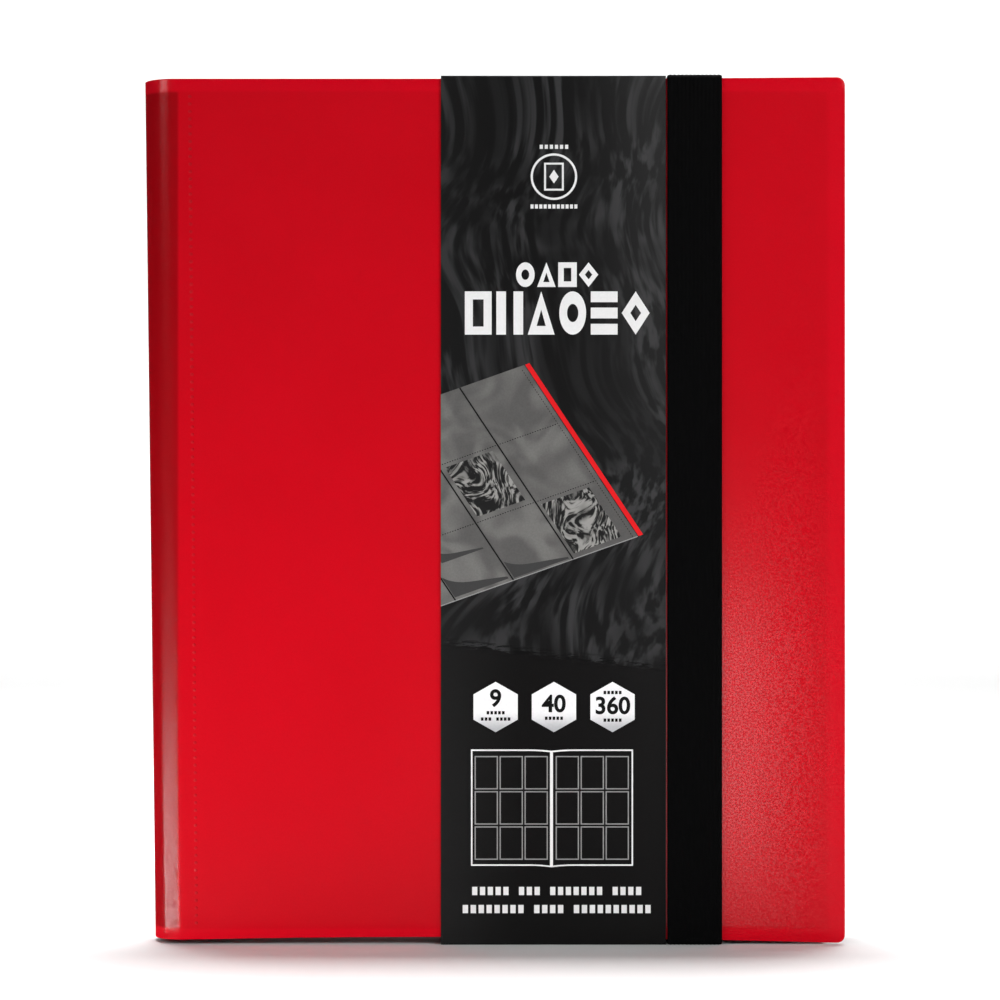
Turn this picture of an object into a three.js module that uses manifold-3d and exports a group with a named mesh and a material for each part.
// A side-loading trading card binder: a wrap cover of frosted plastic sheet, twenty welded
// pocket sheets, an elastic closing strap and a printed paper belly band.
//
// Millimetres, +Z up. The binder stands on its lower edge with its spine at -X, its front
// cover facing -Y and the origin under the middle of its bounding box.

import * as THREE from 'three';
import { mergeVertices } from 'three/addons/utils/BufferGeometryUtils.js';
import Module from 'manifold-3d';

const wasm = await Module();
wasm.setup();

// Wrap cover
const COVER_WIDTH = 255;
const COVER_HEIGHT = 315;
const COVER_DEPTH = 24; // outside of the front cover to outside of the back cover
const COVER_SHEET = 0.9;
const CORNER_RADIUS = 2.5; // the fore-edge corners of both covers
const COVER_LIFT = 1.5; // the strap and the band run under the covers' lower edges
const HINGE_GAP = 0.3; // between the spine and each cover
const SPINE_STEPS = 28;
const CORNER_STEPS = 6;

// Liner, welded inside the covers, that holds the pocket sheets
const LINER_SHEET = 0.4;
const LINER_FLAP = 20;
const LINER_INSET = 5.5; // from the covers' upper and lower edges
const LINER_TO_COVER = 0.1;

// Pocket sheets
const SHEET_COUNT = 20;
const SHEET_PITCH = 0.93;
const SHEET_BACKING = 0.25;
const FILM = 0.1; // how far the clear film stands off the backing on each face
const SHEET_PAST_HINGE = 0.4; // how far the sheets reach into the spine
const SHEET_TO_LINER = 0.7;
const FORE_EDGE_INSET = 6.2; // covers' fore-edge to the sheets' fore-edge
const SHEET_INSET = 5.5; // covers' upper and lower edges to the sheets'
const COLUMNS = 3;
const COLUMN_WIDTH = 69.5;
const COLUMN_MARGIN = 2.2; // outermost film to the sheet's fore-edge
const FILM_GAP = 1.6; // between neighbouring strips of film
const FILM_INSET = 1.2; // film to the sheet's upper and lower edges

// Elastic strap
const STRAP_WIDTH = 20;
const STRAP_THICKNESS = 1.2;
const STRAP_CENTRE_X = 72.4;
const STRAP_TO_COVER = 0.3;
const SLOT_FROM_EDGE = 18;
const SLOT_LENGTH = 22;
const SLOT_WIDTH = 2;
const TAIL_LENGTH = 14; // the part of each end that lies inside the back cover
const TAIL_TO_COVER = 0.1;

// Patches that hold the strap's ends inside the back cover
const PATCH_WIDTH = 26;
const PATCH_HEIGHT = 16;
const PATCH_SHEET = 0.4;
const PATCH_TO_TAIL = 0.1;

// Belly band
const BAND_WIDTH = 82.2;
const BAND_CENTRE_X = 20.8;
const BAND_PAPER = 0.35;
const BAND_TO_COVER = 0.3;
const BAND_OVER_TOP = 1.1; // outside of the loop over the covers' upper edges
const LAP_LENGTH = 16; // where the loop's ends are glued over each other at the back
const LAP_HEIGHT = 150;

// Places worked out from the dimensions
const FORE_EDGE_X = COVER_WIDTH / 2;
const COVER_OUT_Y = COVER_DEPTH / 2;
const COVER_IN_Y = COVER_OUT_Y - COVER_SHEET;
const HINGE_X = -FORE_EDGE_X + COVER_OUT_Y;
const COVER_LOW = COVER_LIFT;
const COVER_HIGH = COVER_LIFT + COVER_HEIGHT;

const MATERIALS = {
  cover: new THREE.MeshStandardMaterial({ color: 0xc40016, roughness: 0.5, metalness: 0 }),
  liner: new THREE.MeshStandardMaterial({ color: 0x161617, roughness: 0.6, metalness: 0 }),
  sheet: new THREE.MeshStandardMaterial({ color: 0x2a2b2e, roughness: 0.25, metalness: 0 }),
  strap: new THREE.MeshStandardMaterial({ color: 0x0b0b0c, roughness: 0.9, metalness: 0 }),
  patch: new THREE.MeshStandardMaterial({ color: 0xb01020, roughness: 0.4, metalness: 0 }),
  band: new THREE.MeshStandardMaterial({ color: 0x1d1d1e, roughness: 0.5, metalness: 0 }),
};

function slab(xs, ys, zs) {
  const geometry = new THREE.BoxGeometry(xs[1] - xs[0], ys[1] - ys[0], zs[1] - zs[0]);
  return geometry.translate((xs[0] + xs[1]) / 2, (ys[0] + ys[1]) / 2, (zs[0] + zs[1]) / 2);
}

// An outline in (x, z), given its thickness from y up to y + thickness.
function extrudeAlongY(shape, thickness, y) {
  const geometry = new THREE.ExtrudeGeometry(shape, {
    depth: thickness,
    bevelEnabled: false,
    curveSegments: CORNER_STEPS,
  });
  return geometry.rotateX(Math.PI / 2).translate(0, y + thickness, 0);
}

// An outline in (y, z), given its width along X about centreX.
function extrudeAlongX(shape, width, centreX) {
  const geometry = new THREE.ExtrudeGeometry(shape, { depth: width, bevelEnabled: false });
  const axes = new THREE.Matrix4().makeBasis(
    new THREE.Vector3(0, 1, 0),
    new THREE.Vector3(0, 0, 1),
    new THREE.Vector3(1, 0, 0),
  );
  return geometry.applyMatrix4(axes).translate(centreX - width / 2, 0, 0);
}

function solid(geometry) {
  const bare = geometry.clone();
  bare.deleteAttribute('normal');
  bare.deleteAttribute('uv');
  const merged = mergeVertices(bare);
  return new wasm.Manifold(
    new wasm.Mesh({
      numProp: 3,
      vertProperties: new Float32Array(merged.attributes.position.array),
      triVerts: new Uint32Array(merged.index.array),
    }),
  );
}

function joined(geometries) {
  const whole = geometries.map(solid).reduce((sum, piece) => sum.add(piece));
  const { vertProperties, triVerts } = whole.getMesh();
  const geometry = new THREE.BufferGeometry();
  geometry.setAttribute('position', new THREE.BufferAttribute(vertProperties, 3));
  geometry.setIndex(new THREE.BufferAttribute(triVerts, 1));
  geometry.computeVertexNormals();
  return geometry;
}

function mesh(name, geometry, material) {
  const made = new THREE.Mesh(geometry, material);
  made.name = name;
  return made;
}

const SQUARE_TURN = 0.5; // the least sine of the angle that counts as a turn

// A closed outline round a centreline of square turns, at half a thickness on each side.
function ribbonOutline(centreline, thickness) {
  const half = thickness / 2;
  const side = (sign) => centreline.map((point, i) => {
    const before = centreline[Math.max(i - 1, 0)];
    const after = centreline[Math.min(i + 1, centreline.length - 1)];
    const arriving = point.clone().sub(before).normalize();
    const leaving = after.clone().sub(point).normalize();
    const first = i === 0 ? leaving : arriving;
    const second = i === centreline.length - 1 ? arriving : leaving;
    const offset = new THREE.Vector2(-first.y, first.x);
    const turns = Math.abs(first.cross(second)) > SQUARE_TURN;
    if (turns) offset.add(new THREE.Vector2(-second.y, second.x));
    return point.clone().addScaledVector(offset, sign * half);
  });
  return new THREE.Shape([...side(1), ...side(-1).reverse()]);
}

function rectangle(left, right, low, high) {
  return new THREE.Path([
    new THREE.Vector2(left, low),
    new THREE.Vector2(left, high),
    new THREE.Vector2(right, high),
    new THREE.Vector2(right, low),
  ]);
}

// One cover panel, with round corners at its fore-edge.
function coverShape() {
  const left = HINGE_X + HINGE_GAP;
  const shape = new THREE.Shape();
  shape.moveTo(left, COVER_LOW);
  shape.lineTo(FORE_EDGE_X - CORNER_RADIUS, COVER_LOW);
  shape.absarc(FORE_EDGE_X - CORNER_RADIUS, COVER_LOW + CORNER_RADIUS, CORNER_RADIUS, -Math.PI / 2, 0);
  shape.absarc(FORE_EDGE_X - CORNER_RADIUS, COVER_HIGH - CORNER_RADIUS, CORNER_RADIUS, 0, Math.PI / 2);
  shape.lineTo(left, COVER_HIGH);
  return shape;
}

function frontCover() {
  return extrudeAlongY(coverShape(), COVER_SHEET, -COVER_OUT_Y);
}

const SLOT_HEIGHTS = [COVER_LOW + SLOT_FROM_EDGE, COVER_HIGH - SLOT_FROM_EDGE];

function backCover() {
  const shape = coverShape();
  const left = STRAP_CENTRE_X - SLOT_LENGTH / 2;
  for (const z of SLOT_HEIGHTS) {
    shape.holes.push(rectangle(left, left + SLOT_LENGTH, z - SLOT_WIDTH / 2, z + SLOT_WIDTH / 2));
  }
  return extrudeAlongY(shape, COVER_SHEET, COVER_IN_Y);
}

// The half-round bend between the two covers.
function spine() {
  const shape = new THREE.Shape();
  shape.absarc(HINGE_X, 0, COVER_OUT_Y, Math.PI / 2, (3 * Math.PI) / 2);
  shape.absarc(HINGE_X, 0, COVER_IN_Y, (3 * Math.PI) / 2, Math.PI / 2, true);
  const geometry = new THREE.ExtrudeGeometry(shape, {
    depth: COVER_HEIGHT,
    bevelEnabled: false,
    curveSegments: SPINE_STEPS,
  });
  return geometry.translate(0, 0, COVER_LOW);
}

const LINER_Z = [COVER_LOW + LINER_INSET, COVER_HIGH - LINER_INSET];

// A flap of the liner, welded to the inside of the front (side -1) or back (side 1) cover.
function linerFlap(side) {
  const outer = side * (COVER_IN_Y - LINER_TO_COVER);
  const inner = outer - side * LINER_SHEET;
  const left = HINGE_X + HINGE_GAP;
  return slab([left, left + LINER_FLAP], [Math.min(inner, outer), Math.max(inner, outer)], LINER_Z);
}

const SHEET_LEFT = HINGE_X - SHEET_PAST_HINGE;
const SHEET_RIGHT = FORE_EDGE_X - FORE_EDGE_INSET;
const SHEET_Z = [COVER_LOW + SHEET_INSET, COVER_HIGH - SHEET_INSET];
const BLOCK_HALF = (SHEET_COUNT / 2) * SHEET_PITCH;

// The strip across the back of the sheets, inside the spine.
function spineLiner() {
  const right = SHEET_LEFT - SHEET_TO_LINER;
  return slab([right - LINER_SHEET, right], [-BLOCK_HALF, BLOCK_HALF], LINER_Z);
}

// One pocket sheet: a backing with strips of clear film welded over both its faces.
function pocketSheet(y) {
  const half = SHEET_BACKING / 2;
  const filmZ = [SHEET_Z[0] + FILM_INSET, SHEET_Z[1] - FILM_INSET];
  const pieces = [slab([SHEET_LEFT, SHEET_RIGHT], [y - half, y + half], SHEET_Z)];
  for (let column = 0; column < COLUMNS; column += 1) {
    const right = SHEET_RIGHT - COLUMN_MARGIN - column * COLUMN_WIDTH - FILM_GAP / 2;
    const left = right - COLUMN_WIDTH + FILM_GAP;
    const film = half + FILM;
    pieces.push(slab([left, right], [y - film, y + film], filmZ));
  }
  return joined(pieces);
}

// The strap: in through the lower slot, under, up the front, over and in through the upper slot.
function elasticStrap() {
  const out = COVER_OUT_Y + STRAP_TO_COVER + STRAP_THICKNESS / 2;
  const inside = COVER_IN_Y - TAIL_TO_COVER - STRAP_THICKNESS / 2;
  const low = STRAP_THICKNESS / 2;
  const high = COVER_HIGH + COVER_LIFT - STRAP_THICKNESS / 2;
  const centreline = [
    [inside, SLOT_HEIGHTS[0] + TAIL_LENGTH],
    [inside, SLOT_HEIGHTS[0]],
    [out, SLOT_HEIGHTS[0]],
    [out, low],
    [-out, low],
    [-out, high],
    [out, high],
    [out, SLOT_HEIGHTS[1]],
    [inside, SLOT_HEIGHTS[1]],
    [inside, SLOT_HEIGHTS[1] - TAIL_LENGTH],
  ].map(([y, z]) => new THREE.Vector2(y, z));
  return extrudeAlongX(ribbonOutline(centreline, STRAP_THICKNESS), STRAP_WIDTH, STRAP_CENTRE_X);
}

// A patch welded over one end of the strap, inside the back cover.
function strapPatch(slotHeight, direction) {
  const outer = COVER_IN_Y - TAIL_TO_COVER - STRAP_THICKNESS - PATCH_TO_TAIL;
  const near = slotHeight + direction * (SLOT_WIDTH / 2);
  const far = near + direction * PATCH_HEIGHT;
  return slab(
    [STRAP_CENTRE_X - PATCH_WIDTH / 2, STRAP_CENTRE_X + PATCH_WIDTH / 2],
    [outer - PATCH_SHEET, outer],
    [Math.min(near, far), Math.max(near, far)],
  );
}

// The paper loop round both covers, with its ends lapped at the back.
function bellyBand() {
  const inner = COVER_OUT_Y + BAND_TO_COVER;
  const outer = inner + BAND_PAPER;
  const high = COVER_HIGH + BAND_OVER_TOP;
  const lapped = outer + BAND_PAPER;
  const shape = new THREE.Shape([
    [-outer, 0],
    [outer, 0],
    [outer, LAP_HEIGHT],
    [lapped, LAP_HEIGHT],
    [lapped, LAP_HEIGHT + LAP_LENGTH],
    [outer, LAP_HEIGHT + LAP_LENGTH],
    [outer, high],
    [-outer, high],
  ].map(([y, z]) => new THREE.Vector2(y, z)));
  shape.holes.push(rectangle(-inner, inner, BAND_PAPER, high - BAND_PAPER));
  return extrudeAlongX(shape, BAND_WIDTH, BAND_CENTRE_X);
}

function wrapCover() {
  const group = new THREE.Group();
  group.add(mesh('back_cover', backCover(), MATERIALS.cover));
  group.add(mesh('spine', spine(), MATERIALS.cover));
  group.add(mesh('front_cover', frontCover(), MATERIALS.cover));
  group.add(mesh('liner_flap_front', linerFlap(-1), MATERIALS.liner));
  group.add(mesh('liner_flap_back', linerFlap(1), MATERIALS.liner));
  group.add(mesh('liner_spine', spineLiner(), MATERIALS.liner));
  return group;
}

// The sheets are numbered from the front cover to the back cover.
function sheetBlock() {
  const group = new THREE.Group();
  for (let i = 0; i < SHEET_COUNT; i += 1) {
    const name = `pocket_sheet_${String(i + 1).padStart(2, '0')}`;
    const y = (i - (SHEET_COUNT - 1) / 2) * SHEET_PITCH;
    group.add(mesh(name, pocketSheet(y), MATERIALS.sheet));
  }
  return group;
}

function closure() {
  const group = new THREE.Group();
  group.add(mesh('elastic_strap', elasticStrap(), MATERIALS.strap));
  group.add(mesh('strap_patch_lower', strapPatch(SLOT_HEIGHTS[0], 1), MATERIALS.patch));
  group.add(mesh('strap_patch_upper', strapPatch(SLOT_HEIGHTS[1], -1), MATERIALS.patch));
  group.add(mesh('belly_band', bellyBand(), MATERIALS.band));
  return group;
}

const binder = new THREE.Group();
binder.add(wrapCover(), sheetBlock(), closure());

export default binder;
